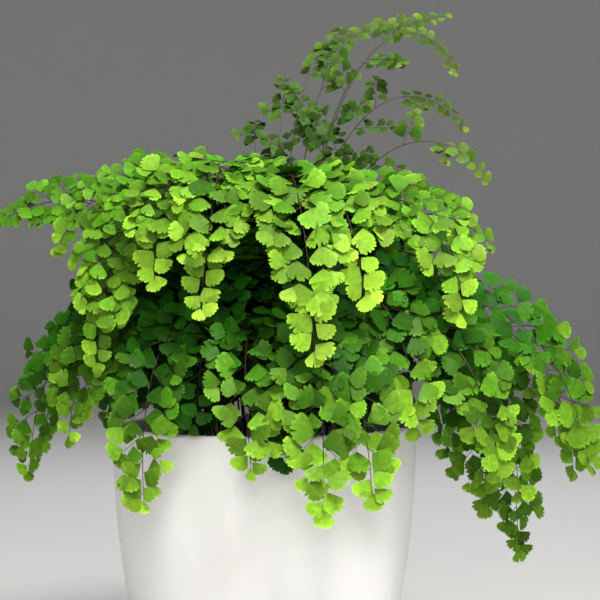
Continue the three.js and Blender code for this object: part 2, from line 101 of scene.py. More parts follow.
# Stalks: where they root, how they lean, turn over and turn their leaves to the light, how they sway, and
# how thick and how finely meshed they and what they bear are.
ROOT_RINGS = (0.8, 1.2)
LEAN = 0.1
TURN_OVER = 0.55
TO_LIGHT = 2.2
SUNK = 12 * MM
CLEAR_OF_SOIL = 1.5 * MM
STALK_RADIUS = (0.6 * MM, 0.16 * MM)
SIDE_RIB_RADIUS = (0.22 * MM, 0.11 * MM)
TWIG_RADIUS = (0.13 * MM, 0.09 * MM)
STALKLET_RADIUS = (0.11 * MM, 0.08 * MM)
STALK_SWAY = 3 * MM
SWAY_WAVE = 7
STALK_RINGS = 56
SIDE_RIB_RINGS = 10
TWIG_RINGS = 4
STALK_SIDES = 7
SIDE_RIB_SIDES = 5
TWIG_SIDES = 3

# Edges sharper than this aren't smoothed.
SHARP_ANGLE = np.radians(50)

# Side ribs: the angle they leave at, how they droop, bend and roll, and the bare stretch before their
# leaflets, which is a small share of the length at most. They alternate, and those between the stations
# are a little shorter.
SIDE_RIB_ANGLE = np.radians(52)
SIDE_RIB_TURN = np.radians(7)
SIDE_RIB_DROOP = 0.008 / MM
DROOP_SPREAD = (0.7, 1.3)
SIDE_RIB_BEND = 0.006 / MM
BEND_SPREAD = (-0.6, 1)
SIDE_RIB_ROLL = 0.18
SHORTEST_SIDE_RIB = 20 * MM
SIDE_RIB_BARE = 3 * MM
MOST_BARE = 0.15
FILL_LENGTH = (0.75, 1.0)

# Below the blade a few small ribs leave the stalk, from this share of its bare length. Past the branched
# share the ribs shorten from the shortest to the last one's length.
LOW_RIBS_FROM = 0.58
LOW_RIB = (22 * MM, 40 * MM)
LAST_RIB = 11 * MM

# Twigs: a long side rib bears twigs in place of its first leaflets, at this step on alternate sides.
TWIG_BEARER = 36 * MM
TWIGGED = 0.5
TWIG_STEP = 6.5 * MM
FIRST_TWIG = 0.6
TWIG_LENGTH = (9 * MM, 15 * MM)
TWIG_BARE = 1.5 * MM

# Leaflets on a rib: where in a step the first one is and how unevenly they follow, the angle that they turn
# from the rib (less towards its tip) and its spread, how far a blade tilts up, sags and strays.
FIRST_LEAFLET = 0.3
STEP_SPREAD = 0.1
LEAFLET_TURN = 56
TIP_TURN = 14
TURN_SPREAD = 9
TILT = 0.3
SAG = 0.12
AXIS_SPREAD = 0.1
NORMAL_SPREAD = 0.24

# The stalklet's length as a share of a leaflet's reach, its spread, the end leaflet's share of it, and how
# far at most it rises above the rib for its length.
STALKLET = 0.13
STALKLET_SPREAD = (0.7, 1.4)
END_STALKLET = 0.3
RAISED = 1.0

# How much leaflets differ in size, how much smaller they get towards a rib's tip, and how thick they are.
SIZE_SPREAD = 0.09
SIZE_LIMITS = (0.75, 1.25)
TIP_LEAFLET = (0.7, 0.95)
TIP_POWER = 3
LEAFLET_THICK = 0.3 * MM

# Youth grows along a rib and along a stalk with these powers of the share, and has a spread. A side rib's
# end is younger than its root by a share of the whole frond's difference.
RIB_YOUTH_POWER = 2
STALK_YOUTH_POWER = 3
SIDE_RIB_YOUTH = 0.25
YOUTH_SPREAD = 0.06

# A leaflet's outer edge has lobes between notches. Each lobe's points lie at these shares of its width,
# and take these shares of the depth of the notch before and of the notch after it.
LOBES = 7
LOBE_SPREAD = 0.07
LOBE_PLACES = np.array([0, 0.3, 0.7])
NOTCH_BEFORE = np.array([1, 0.1, 0])
NOTCH_AFTER = np.array([0, 0, 0.1])
SHALLOW_NOTCH = (0.05, 0.12)
DEEP_NOTCH = (0.18, 0.4)
DEEP_NOTCHES = 0.15
END_NOTCH = 0.5
TEETH = 0.02

# The blade's half opening in degrees, the end leaflet's share of it, how its corners are rounded, how far
# it leans to one side, and where the points on its sides and in its middle lie.
HALF_OPENING = (40, 57)
END_OPENING = 0.9
CORNER = 0.24
CORNER_POWER = 4
SKEW = 0.14
SIDE_BULGE = 0.04
SIDE_SHARE = 0.5
MIDDLE_SHARE = 0.56

# How a blade bends, as shares of its reach: its droop, roll, waves round the rim, and pucker.
DROOP = (-0.04, 0.26)
ROLL = (-0.1, 0.3)
WAVE = (0.02, 0.08)
WAVES = 4.5
PUCKER = (-0.02, 0.05)

# How far a blade turns from its rib's upper side towards the open: outwards, up and to the front.
TO_OPEN = 0.9
TO_SKY = 0.35
TO_FRONT = 0.8
HEART = np.array([0, 0, 165]) * MM

# Painted shade: leaves of fronds that stand away from the light are coloured darker, as if older: their
# # youth goes down to this share of the others'.
LIGHT_AZIMUTH = 10
IN_SHADE = 0.5

# Surfaces: a noise is given by its waves a metre and its detail, a band by where it begins and ends, and a
# bump by its depth and strength.

# Leaf surface: patches and grain, how far patches change a leaflet's age, how late in youth it pales, where
# its veins fork, how many a radian has before and after, a whole number that keeps their count above zero,
# how wide they are and how deep.
LEAF_PATCHES = (420.0, 3.0)
LEAF_GRAIN = (900.0, 3.0)
PATCHED_AGE = 0.175
PALE_POWER = 2.6
FORK = (0.45, 0.6)
VEINS = (5.5, 11.0)
WHOLE_TURNS = 20.0
VEIN_EDGES = (0.16, 0.02)
VEIN_DEPTH = -0.5
LEAF_BUMP = (0.2 * MM, 0.7)

# What a leaf's colour is multiplied by: from the darkest leaflet to the palest, from its hub out (painted
# # shade, darker at the hub), from its blade to its rim (a painted glow, paler at the rim), and off and on
# # its veins. Light that shines through is sifted greener.
LEAFLET_TONES = (0.56, 1.4)
# Painted shade darkens a leaflet towards its hub, and a painted glow pales its rim.
HUB_SHADE_REACH = (-0.25, 0.7)
HUB_PAINTED_SHADE = (0.64, 1.0)
RIM_GLOW_REACH = (0.78, 1.0)
RIM_PAINTED_GLOW = (1.0, 1.4)
VEIN_TONES = (0.93, 1.23)
LEAF_ROUGHNESS = (0.36, 0.58)
LEAF_GLOSS = 0.12
SHINES_THROUGH = 0.22
SIFTED = (0.55, 1.0, 0.5)

# Leaf colours of each kind of frond, old and young. The middle and inner fronds' colours are much
# # darker: painted shade for the plant's shaded inside.
LEAF_COLOURS = {
    "canopy": ((0.034, 0.19, 0.004), (0.41, 0.66, 0.05)),
    "middle": ((0.01, 0.09, 0.0025), (0.07, 0.26, 0.01)),
    "skirt": ((0.016, 0.115, 0.0025), (0.36, 0.66, 0.04)),
    "inner": ((0.005, 0.05, 0.0015), (0.06, 0.27, 0.01)),
    "spray": ((0.032, 0.1, 0.008), (0.38, 0.55, 0.06)),
}

# Stalk surface: streaks from black to brown, and how green a young stalk is.
STALK_BLACK = (0.010, 0.006, 0.005)
STALK_BROWN = (0.055, 0.026, 0.014)
STALK_GREEN = (0.06, 0.075, 0.02)
STREAKS = (260.0, 4.0)
STREAK_BAND = (0.35, 0.75)
GREENED = 0.55
STALK_ROUGHNESS = (0.35, 0.65)
STALK_GLOSS = 0.3
STALK_BUMP = (0.08 * MM, 0.4)

# Glaze: clouds from dull to clear, and how much a speck shows.
GLAZE_DULL = (0.93, 0.922, 0.9)
GLAZE_CLEAR = (0.96, 0.956, 0.945)
GLAZE_SPECK = (0.55, 0.5, 0.42)
CLOUDS = (14.0, 4.0)
CLOUD_BAND = (0.3, 0.75)
SPECKS = (700.0, 2.0)
SPECK_BAND = (0.68, 0.76)
SPECKED = 0.18
RIPPLES = (55.0, 2.0)
RIPPLE_BUMP = (0.2 * MM, 0.04)
GLAZE_ROUGHNESS = (0.32, 0.44)
COAT = 0.3
COAT_ROUGHNESS = 0.25

# Soil surface: clods from dark to brown, and how much a fibre in their grain shows.
SOIL_DARK = (0.012, 0.008, 0.005)
SOIL_BROWN = (0.05, 0.031, 0.018)
SOIL_FIBRE = (0.16, 0.1, 0.055)
CLODS = (110.0, 3.0)
CLOD_BAND = (0.3, 0.7)
GRAIN = (520.0, 6.0)
FIBRE_BAND = (0.64, 0.74)
FIBRED = 0.6
SOIL_ROUGHNESS = (0.75, 0.95)
SOIL_BUMP = (0.9 * MM, 0.9)

# Stage, in metres: a flat disc with a ring of points inside it, a sweep round it and an upright edge.
STAGE_COLOUR = (0.42, 0.42, 0.415)
STAGE_ROUGHNESS = 0.8
STAGE_FLAT = 1.0
STAGE_RADIUS = 3.6
STAGE_HEIGHT = 3.4
STAGE_SWEEP = 1.2
SWEEP_ARC = (-90, 0, 16)
STAGE_SEGMENTS = 96

# Lights: name, place, size in metres, power in watts, colour, and whether it shows in reflections.
LIGHTS = (
    ("window", (0.34, -0.88, 1.5), 0.6, 49, (1.0, 0.98, 0.94), True),
    ("skylight", (0.1, 1.1, 1.2), 0.9, 15, (0.95, 0.98, 1.0), False),
    ("fill", (0.0, -1.5, 0.6), 0.6, 8.5, (1.0, 0.98, 0.95), True),
)
LIT_POINT = (0, 0, 0.22)
SURROUND = (0.8, 0.82, 0.85)
SURROUND_STRENGTH = 0.3

# Camera: place, the point that it looks at, and lens and sensor in millimetres.
VIEW_FROM = (0.0194, -1.0, 0.233)
VIEW_TO = (0.0194, 0, 0.218)
LENS = 109.1
SENSOR_WIDTH = 36


class Kind(NamedTuple):
    """A kind of frond: where it roots, the bare share of its stalk, the longest side rib, the share of
    the blade where the side ribs have come down to the shortest and where the last one is, the step
    between them and how many ribs it has, the step between leaflets as a share of their reach, and how
    young the first and the last ones are."""

    root: float
    bare: float
    spread: float
    branched: float
    ribbed: float
    pitch: float
    ribs: int
    leaflet_step: float
    ages: tuple


KINDS = {
    "canopy": Kind(18 * MM, 0.36, 74 * MM, 0.6, 0.82, 22 * MM, 4, 0.42, (0.3, 0.9)),
    "middle": Kind(26 * MM, 0.4, 44 * MM, 0.4, 0.8, 20 * MM, 3, 0.42, (0.0, 0.7)),
    "skirt": Kind(35 * MM, 0.32, 44 * MM, 0.45, 0.86, 22 * MM, 3, 0.42, (0.0, 1.0)),
    "inner": Kind(48 * MM, 0.18, 36 * MM, 0.6, 0.8, 18 * MM, 3, 0.42, (0.0, 0.8)),
    "spray": Kind(10 * MM, 0.45, 50 * MM, 0.6, 0.75, 18 * MM, 1, 0.5, (0.1, 0.8)),
}

# Fronds: kind, azimuth in degrees (0 to the front, 90 to the right), and in millimetres how far out the
# tip reaches, the tip's height and the crest's height; then how steeply the end hangs, 0 to 1, and the
# reach of its leaflets in millimetres.
FRONDS = (
    ("canopy", 10, 134, 196, 281, 1.0, 11.0),
    ("canopy", -13, 124, 216, 287, 0.8, 9.6),
    ("canopy", -44, 118, 186, 273, 1.0, 8.4),
    ("canopy", 22, 130, 222, 274, 0.8, 9.8),
    ("canopy", 50, 132, 213, 269, 0.8, 9.6),
    ("canopy", -28, 116, 230, 278, 0.9, 9.2),
    ("canopy", -62, 101, 208, 272, 0.9, 8.4),
    ("canopy", -80, 112, 248, 270, 0.5, 8.2),
    ("canopy", -100, 156, 260, 265, 0.3, 8.0),
    ("canopy", 78, 113, 241, 261, 0.5, 9.4),
    ("canopy", 108, 132, 250, 259, 0.5, 8.8),
    ("canopy", 139, 126, 216, 260, 0.7, 8.8),
    ("canopy", 170, 128, 213, 270, 0.8, 8.8),
    ("canopy", -158, 130, 206, 266, 0.8, 8.8),
    ("canopy", -128, 122, 214, 266, 0.7, 8.6),
    ("skirt", -29, 119, 121, 206, 1.0, 9.6),
    ("skirt", -3, 127, 140, 206, 1.0, 9.8),
    ("skirt", 14, 138, 122, 212, 1.0, 10.5),
    ("skirt", 22, 139, 128, 204, 1.0, 10.8),
    ("skirt", 36, 126, 158, 222, 0.9, 10.6),
    ("skirt", 53, 147, 137, 210, 0.9, 11.0),
    ("skirt", 68, 180, 136, 219, 0.7, 10.2),
    ("skirt", 82, 168, 128, 212, 0.9, 10.2),
    ("skirt", 95, 141, 80, 196, 1.0, 9.6),
    ("skirt", -56, 118, 150, 217, 0.9, 9.0),
    ("skirt", -80, 128, 127, 205, 0.9, 8.8),
    ("skirt", -104, 128, 146, 220, 0.8, 9.0),
    ("skirt", -130, 124, 148, 206, 0.9, 9.4),
    ("skirt", -156, 130, 130, 216, 0.9, 9.4),
    ("skirt", 178, 132, 115, 208, 0.9, 9.4),
    ("skirt", 153, 130, 132, 216, 0.9, 9.4),
    ("skirt", 127, 138, 116, 209, 0.9, 9.4),
    ("skirt", 76, 140, 118, 214, 0.9, 10.2),
    ("skirt", 85, 120, 108, 202, 0.95, 9.4),
    ("middle", -19, 97, 158, 234, 0.9, 9.0),
    ("middle", 18, 106, 170, 244, 0.9, 9.4),
    ("middle", 64, 118, 184, 244, 0.8, 9.4),
    ("middle", -88, 98, 186, 248, 0.8, 8.8),
    ("middle", -47, 98, 166, 236, 0.9, 8.8),
    ("middle", 112, 104, 178, 242, 0.8, 9.0),
    ("middle", 166, 102, 172, 240, 0.9, 9.0),
    ("middle", -138, 102, 174, 242, 0.9, 9.0),
    ("inner", 8, 102, 140, 190, 0.9, 8.6),
    ("inner", 46, 78, 160, 186, 0.8, 9.0),
    ("inner", 91, 76, 158, 184, 0.8, 8.6),
    ("inner", 132, 76, 158, 184, 0.8, 8.6),
    ("inner", 168, 76, 158, 184, 0.8, 8.6),
    ("inner", -146, 76, 158, 184, 0.8, 8.6),
    ("inner", -104, 76, 158, 184, 0.8, 8.6),
    ("inner", -40, 77, 156, 184, 0.8, 8.4),
    ("spray", 140, 64, 372, 330, 0.3, 5.2),
    ("spray", 111, 110, 380, 344, 0.3, 5.6),
    ("spray", -168, 42, 312, 302, 0.5, 5.4),
    ("spray", 78, 120, 284, 294, 0.6, 6.4),
    ("spray", 101, 112, 315, 318, 0.5, 5.8),
    ("spray", 126, 78, 374, 338, 0.3, 5.4),
    ("spray", 162, 46, 340, 312, 0.4, 6.0),
    ("spray", 90, 104, 344, 349, 0.6, 5.2),
)


# Vectors and frames


def unit(vectors):
    """Each vector divided by its own length."""
    return vectors / np.linalg.norm(vectors, axis=-1, keepdims=True)


def square_to(vectors, directions):
    """Each vector less its part along its unit direction, made a unit vector."""
    along = np.sum(vectors * directions, axis=-1, keepdims=True)
    return unit(vectors - along * directions)


def around(azimuth, distance, height):
    """The level direction at an azimuth times a distance, at a height."""
    a = np.radians(azimuth)
    return np.array([np.sin(a) * distance, -np.cos(a) * distance, height])


class Frames(NamedTuple):
    """Rows of frames along a rib: point, forwards, its upper side and its right."""

    point: np.ndarray
    forward: np.ndarray
    up: np.ndarray
    right: np.ndarray


def frames_of(point, forward, upper):
    """Frames whose upper side is the part of upper that is square to forward, and whose right is forward
    crossed with that."""
    up = square_to(np.broadcast_to(upper, forward.shape), forward)
    return Frames(point, forward, up, np.cross(forward, up))


def blade_frames(rib):
    """A rib's frames with the upper side turned towards the open: outwards from the plant's heart, up,
    and to the front."""
    outwards = unit(rib.point - HEART)
    front = np.array([0, -TO_FRONT, 0])
    return frames_of(rib.point, rib.forward, rib.up + TO_OPEN * outwards + TO_SKY * UP + front)


# Soil and ribs


def swell(x, y):
    """Height of the soil: a mound that falls with the square of the share of the rim's radius, plus low
    waves in x and y that fade at the edge."""
    share = np.minimum(1, np.hypot(x, y) / RIM_RADIUS)
    u, v = x / MM, y / MM
    crossed = np.sin(SWELL_IN_X[0] * u + SWELL_IN_X[1]) * np.cos(SWELL_IN_Y[0] * v + SWELL_IN_Y[1])
    waves = crossed + np.sin(SWELL_ASLANT[0] * u + SWELL_ASLANT[1] * v)
    return SOIL_TOP + SOIL_MOUND * (1 - share**2) + SOIL_SWELL * waves * (1 - share**SWELL_FADE)


class Stalk:
    """A frond's stalk: a cubic curve of four knots, from the soil up to two handles at one height and
    out to the tip, read by its arc length. The curve's middle takes an eighth of each end's height and
    three quarters of the handles', so their height puts it at the crest."""

    STEPS = 400

    def __init__(self, number):
        kind, self.azimuth, reach, tip, crest, hang, _ = FRONDS[number]
        reach, tip, crest = reach * MM, tip * MM, crest * MM
        root = KINDS[kind].root * ROOT_RINGS[number % 2]
        start = around(self.azimuth, root, 0)
        start[2] = swell(start[0], start[1]) + CLEAR_OF_SOIL
        handles = (crest - (start[2] + tip) / 8) / 0.75
        over = root + (reach - root) * (TURN_OVER + (1 - TURN_OVER) * hang)
        self.knots = np.array([
            start,
            around(self.azimuth, root + (reach - root) * LEAN, handles),
            around(self.azimuth, over, handles),
            around(self.azimuth, reach, tip),
        ])
        self.across = np.cross(around(self.azimuth, 1, 0), UP)
        self.line = self.curve(np.linspace(0, 1, self.STEPS))
        self.slope = np.gradient(self.line, axis=0)
        steps = np.linalg.norm(np.diff(self.line, axis=0), axis=1)
        run = np.concatenate([[0], np.cumsum(steps)])
        self.length = run[-1]
        self.shares = run / self.length

    def curve(self, t):
        """The cubic blend of the four knots, with a sway across its plane: a sine of t times t squared."""
        t = t[:, None]
        a, b, c, d = self.knots
        sway = STALK_SWAY * t**2 * np.sin(SWAY_WAVE * t + self.azimuth)
        blend = a * (1 - t) ** 3 + 3 * b * t * (1 - t) ** 2 + 3 * c * t**2 * (1 - t) + d * t**3
        return blend + sway * self.across

    def at(self, shares):
        """Frames at shares of the length. The upper side lies in the stalk's own upright plane, but turns
        to the front further out and further to the side."""
        point, slope = (
            np.stack([np.interp(shares, self.shares, column) for column in rows.T], axis=-1)
            for rows in (self.line, self.slope)
        )
        forward = unit(slope)
        upper = np.cross(self.across, forward)
        upper[:, 1] -= TO_LIGHT * np.asarray(shares) * abs(np.sin(np.radians(self.azimuth)))
        return frames_of(point, forward, upper)


class SideRib:
    """A side rib: it leaves its parent's frame at an angle, and both droops and bends to one side with
    the square of its run."""

    def __init__(self, parent, hand, length, random):
        angle = SIDE_RIB_ANGLE + SIDE_RIB_TURN * random.uniform(-1, 1)
        ahead, side = parent.forward[0], hand * parent.right[0]
        self.start = ahead * np.cos(angle) + side * np.sin(angle)
        inwards = ahead * np.sin(angle) - side * np.cos(angle)
        droop = SIDE_RIB_DROOP * random.uniform(*DROOP_SPREAD)
        self.curl = inwards * SIDE_RIB_BEND * random.uniform(*BEND_SPREAD) - UP * droop
        self.upper = parent.up[0] + SIDE_RIB_ROLL * random.normal(size=3)
        self.root = parent.point[0]
        self.length = length

    def at(self, shares):
        """Frames at shares of the length."""
        run = np.asarray(shares, float)[:, None] * self.length
        point = self.root + self.start * run + self.curl * run**2 / 2
        forward = unit(self.start + self.curl * run)
        return frames_of(point, forward, self.upper)


# Meshes


class Net:
    """Vertices and triangles that are gathered into one mesh, with a UV and values at each vertex."""

    def __init__(self, *names):
        self.vertices, self.faces, self.uvs = [], [], []
        self.values = {name: [] for name in names}
        self.count = 0

    def add(self, vertices, faces, uvs=None, **values):
        """Adds a net of its own, its values given for each vertex or as one number."""
        count = len(vertices)
        self.vertices.append(vertices)
        self.faces.append(faces + self.count)
        self.uvs.append(np.zeros((count, 2)) if uvs is None else uvs)
        for name, rows in self.values.items():
            rows.append(np.broadcast_to(values[name], count))
        self.count += count

    def piece(self, name, material):
        """The mesh as an object at the origin, smooth but for its sharp edges."""
        mesh = bpy.data.meshes.new(name)
        vertices = np.concatenate(self.vertices)
        faces = np.concatenate(self.faces)
        mesh.vertices.add(len(vertices))
        mesh.vertices.foreach_set("co", vertices.astype(np.float32).ravel())
        mesh.loops.add(faces.size)
        mesh.loops.foreach_set("vertex_index", faces.astype(np.int32).ravel())
        mesh.polygons.add(len(faces))
        mesh.polygons.foreach_set("loop_start", np.arange(0, faces.size, 3, dtype=np.int32))
        mesh.update(calc_edges=True)
        layer = mesh.uv_layers.new(name="blade")
        layer.data.foreach_set("uv", np.concatenate(self.uvs)[faces.ravel()].astype(np.float32).ravel())
        for key, rows in self.values.items():
            attribute = mesh.attributes.new(key, "FLOAT", "POINT")
            attribute.data.foreach_set("value", np.concatenate(rows).astype(np.float32))
        mesh.shade_smooth()
        mesh.set_sharp_from_angle(angle=SHARP_ANGLE)
        mesh.materials.append(material)
        made = bpy.data.objects.new(name, mesh)
        bpy.context.scene.collection.objects.link(made)
        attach(made, "root")
        return made


def grid_faces(rows, columns, closed):
    """Two triangles for each cell of a grid of rows by columns, whose columns join up if it is closed."""
    i = np.arange(rows - 1)[:, None]
    j = np.arange(columns if closed else columns - 1)[None, :]
    a = i * columns + j
    b = i * columns + (j + 1) % columns
    c, d = a + columns, b + columns
    return np.stack([a, b, d, a, d, c], axis=-1).reshape(-1, 3)


def cap_faces(pole, ring, outward):
    """A fan of triangles from a pole to a closed ring of vertices."""
    after = np.roll(ring, -1)
    order = (pole + 0 * ring, ring, after) if outward else (pole + 0 * ring, after, ring)
    return np.stack(order, axis=-1)


def tube(path, radii, sides):
    """A round tube: at each frame of the path, sides points at the radius there, on the circle through
    its up and right; closed by a pole at both ends. Anticlockwise from behind, so faces point out."""
    angle = np.linspace(0, 2 * np.pi, sides, endpoint=False)[None, :, None]
    circle = np.cos(angle) * path.right[:, None] + np.sin(angle) * path.up[:, None]
    rings = path.point[:, None] + circle * np.asarray(radii)[:, None, None]
    vertices = np.concatenate([rings.reshape(-1, 3), path.point[:1], path.point[-1:]])
    count = len(path.point)
    first = np.arange(sides)
    last = first + (count - 1) * sides
    faces = np.concatenate([
        grid_faces(count, sides, True)[:, ::-1],
        cap_faces(count * sides, first, True),
        cap_faces(count * sides + 1, last, False),
    ])
    return vertices, faces


def struts(starts, ends, normals, radii):
    """Many straight three-sided tubes at once: a triangle round each start and each end, square to the
    line between them, joined by walls and closed at both ends."""
    forward = unit(ends - starts)
    up = square_to(normals, forward)
    right = np.cross(forward, up)
    angle = np.linspace(0, 2 * np.pi, 3, endpoint=False)[None, :, None]
    circle = np.cos(angle) * right[:, None] + np.sin(angle) * up[:, None]
    rings = [starts[:, None] + circle * radii[0], ends[:, None] + circle * radii[1]]
    vertices = np.concatenate(rings, axis=1)
    walls = grid_faces(2, 3, True)[:, ::-1]
    caps = np.array([[0, 1, 2], [5, 4, 3]])
    one = np.concatenate([walls, caps])
    faces = (one[None] + 6 * np.arange(len(starts))[:, None, None]).reshape(-1, 3)
    return vertices.reshape(-1, 3), faces


# Leaflets


class Leaflets(NamedTuple):
    """Rows of leaflets: the rib's point below each, its hub, its axis, its normal, which side of the rib
    it is on (0 at the end), its reach, and its age from 0, old, to 1, young."""

    foot: np.ndarray
    hub: np.ndarray
    axis: np.ndarray
    normal: np.ndarray
    hand: np.ndarray
    size: np.ndarray
    age: np.ndarray


def leaflet_net():
    """One leaflet's triangles: a fan to its outline from a middle point, and the same fan turned over
    from the point under it. The outline has the hub, a point on one side, the rim, and one on the other."""
    count = LOBES * len(LOBE_PLACES) + 4
    here = np.arange(count)
    after = np.roll(here, -1)
    top = np.stack([0 * here + count, here, after], axis=-1)
    under = np.stack([0 * here + count + 1, after, here], axis=-1)
    return np.concatenate([top, under])


LEAFLET_FACES = leaflet_net()


def leaflet_rim(leaves, random):
    """For each leaflet and rim point, its angle from the axis and its reach. Lobes divide the opening
    unevenly. The reach is full but for rounded corners (a power of the place u from -1 to 1), a skew that
    lengthens the side away from the rib's tip, a notch between lobes, and fine teeth."""
    count = len(leaves.size)
    edges = np.linspace(-1, 1, LOBES + 1) + np.zeros((count, 1))
    edges[:, 1:-1] += random.uniform(-LOBE_SPREAD, LOBE_SPREAD, (count, LOBES - 1))
    shallow = random.uniform(*SHALLOW_NOTCH, edges.shape)
    deep = random.uniform(*DEEP_NOTCH, edges.shape)
    notches = np.where(random.random(edges.shape) < DEEP_NOTCHES, deep, shallow)
    width = np.diff(edges)[..., None]
    u = (edges[:, :-1, None] + LOBE_PLACES * width).reshape(count, -1)
    dip = notches[:, :-1, None] * NOTCH_BEFORE + notches[:, 1:, None] * NOTCH_AFTER
    u = np.append(u, edges[:, -1:], axis=1)
    dip = np.append(dip.reshape(count, -1), END_NOTCH * notches[:, -1:], axis=1)
    dip[:, 0] *= END_NOTCH
    hand = leaves.hand[:, None]
    half = np.radians(random.uniform(*HALF_OPENING, (count, 1))) * np.where(hand == 0, END_OPENING, 1)
    reach = (1 - CORNER * u**CORNER_POWER) * (1 - SKEW * hand * u) * (1 - dip)
    return half * u, reach * (1 + random.uniform(-TEETH, TEETH, u.shape))


def leaflet_points(leaves, random):
    """Vertices of all the leaflets, and each one's place in its blade. A point at angle a and reach r
    lies along the axis by r cos a, across it by r sin a, and above it by r squared times a wave round the
    rim, less a droop along the axis and a roll across it. The one under the middle is lower by the
    thickness."""
    angle, reach = leaflet_rim(leaves, random)
    count = len(reach)
    none = np.zeros((count, 1))
    sides = [(1 + SIDE_BULGE) * angle[:, k, None] for k in (0, -1)]
    partway = [SIDE_SHARE * reach[:, k, None] for k in (0, -1)]
    angles = np.concatenate([none, sides[0], angle, sides[1], none, none], axis=1)
    middle = none + MIDDLE_SHARE
    reaches = np.concatenate([none, partway[0], reach, partway[1], middle, middle], axis=1)
    droop = random.uniform(*DROOP, (count, 1))
    roll = random.uniform(*ROLL, (count, 1))
    wave = random.uniform(*WAVE, (count, 1))
    phase = random.uniform(0, 2 * np.pi, (count, 1))
    curve = droop * np.cos(angles) ** 2 + roll * np.sin(angles) ** 2
    above = reaches**2 * (wave * np.sin(WAVES * angles + phase) - curve)
    above[:, -2:] += random.uniform(*PUCKER, (count, 1))
    size = leaves.size[:, None]
    lift = above * size
    lift[:, -1] -= LEAFLET_THICK
    along, aside = reaches * np.cos(angles), reaches * np.sin(angles)
    across = np.cross(leaves.normal, leaves.axis)
    points = (
        leaves.hub[:, None]
        + (along * size)[..., None] * leaves.axis[:, None]
        + (aside * size)[..., None] * across[:, None]
        + lift[..., None] * leaves.normal[:, None]
    )
    return points, np.stack([0.5 + aside / 2, along], axis=-1)


def leaves_on(rib, start, hand, size, step, ages, random):
    """Leaflets along a rib: one at each step on alternate sides from a share of its length, turned
    forwards more and more, and one straight ahead at its end. They shrink towards the tip, and are
    younger there."""
    steps = max(1, int(round((1 - start) * rib.length / (step * size))))
    uneven = random.uniform(-STEP_SPREAD, STEP_SPREAD, steps)
    places = np.append((np.arange(steps) + FIRST_LEAFLET + uneven) / steps, 1.0)
    shares = start + (1 - start) * places
    count = len(shares)
    hands = hand * np.where(np.arange(count) % 2, -1, 1)
    hands[-1] = 0
    at = blade_frames(rib.at(shares))
    turn = LEAFLET_TURN - TIP_TURN * places + random.uniform(-TURN_SPREAD, TURN_SPREAD, count)
    turn = np.radians(turn) * hands
    axis = at.forward * np.cos(turn)[:, None] + at.right * np.sin(turn)[:, None]
    axis = axis - SAG * UP + at.up * random.uniform(0, TILT, (count, 1))
    axis = unit(axis + AXIS_SPREAD * random.normal(size=(count, 3)))
    normal = square_to(at.up + NORMAL_SPREAD * random.normal(size=(count, 3)), axis)
    taper = 1 - (1 - random.uniform(*TIP_LEAFLET)) * places**TIP_POWER
    sizes = size * taper * np.clip(random.normal(1, SIZE_SPREAD, count), *SIZE_LIMITS)
    stem = STALKLET * size * np.where(hands == 0, END_STALKLET, random.uniform(*STALKLET_SPREAD, count))
    raised = at.up * (stem * random.uniform(0, RAISED, count))[:, None]
    hub = at.point + axis * stem[:, None] + raised
    youth = ages[0] + (ages[1] - ages[0]) * places**RIB_YOUTH_POWER
    youth = np.clip(youth + random.normal(0, YOUTH_SPREAD, count), 0, 1)
    return Leaflets(at.point, hub, axis, normal, hands, sizes, youth)


# Fronds


def side_ribs(kind, stalk, mirror, random):
    """The side ribs of a stalk, with where each leaves it and its hand: small ones below the blade, those
    of the stations with others between them, and shorter and shorter ones past them."""
    blade = 1 - kind.bare
    stations = max(1, int(stalk.length * blade * kind.branched / kind.pitch + 0.5))
    step = kind.branched / stations / kind.ribs
    low = int(kind.bare * (1 - LOW_RIBS_FROM) / (blade * step))
    for i in range(-low, int(kind.ribbed / step) + 1):
        place = i * step
        left = (kind.ribbed - place) / (kind.ribbed - kind.branched)
        tail = LAST_RIB + (SHORTEST_SIDE_RIB - LAST_RIB) * min(1, left)
        reach = max(tail, kind.spread * (1 - place / kind.branched))
        if place < 0:
            reach = random.uniform(*LOW_RIB)
        elif i % kind.ribs:
            reach *= random.uniform(*FILL_LENGTH)
        hand = mirror * (1 if i % 2 else -1)
        share = kind.bare + blade * place
        yield share, hand, SideRib(stalk.at([share]), hand, reach, random)


def twigs(rib, hand, random):
    """The twigs of a long side rib, with the side each is on. They shorten towards the end."""
    count = int(rib.length * TWIGGED / TWIG_STEP)
    for i in range(count):
        share = (i + FIRST_TWIG) * TWIG_STEP / rib.length
        side = hand if i % 2 else -hand
        length = np.interp(i, [0, count], TWIG_LENGTH[::-1])
        yield share, side, SideRib(rib.at([share]), side, length, random)


def add_rib(stems, rib, shares, radii, sides, young):
    """A rib's tube, thinning evenly from the first radius to the second."""
    path = rib.at(shares)
    vertices, faces = tube(path, np.interp(shares, [0, 1], radii), sides)
    stems.add(vertices, faces, young=young)


def add_stalk(stems, stalk, young):
    """A stalk's tube, with a straight foot that goes down into the soil."""
    shares = np.linspace(0, 1, STALK_RINGS)
    path = stalk.at(shares)
    foot = path.point[:1] - UP * (SUNK + CLEAR_OF_SOIL)
    first = frames_of(foot, UP[None, :], path.up[:1])
    joined = Frames(*(np.concatenate([a, b]) for a, b in zip(first, path)))
    radii = np.interp(shares, [0, 1], STALK_RADIUS)
    vertices, faces = tube(joined, np.append(radii[0], radii), STALK_SIDES)
    stems.add(vertices, faces, young=young)


def ages_with_painted_shade(kind, azimuth):
    """How young the first and the last leaflets of a frond are, less so the further it stands from the
    light: painted shade that colours fronds turned away from the light darker."""
    lit = 0.5 + 0.5 * np.cos(np.radians(azimuth - LIGHT_AZIMUTH))
    return np.array(kind.ages) * (IN_SHADE + (1 - IN_SHADE) * lit)


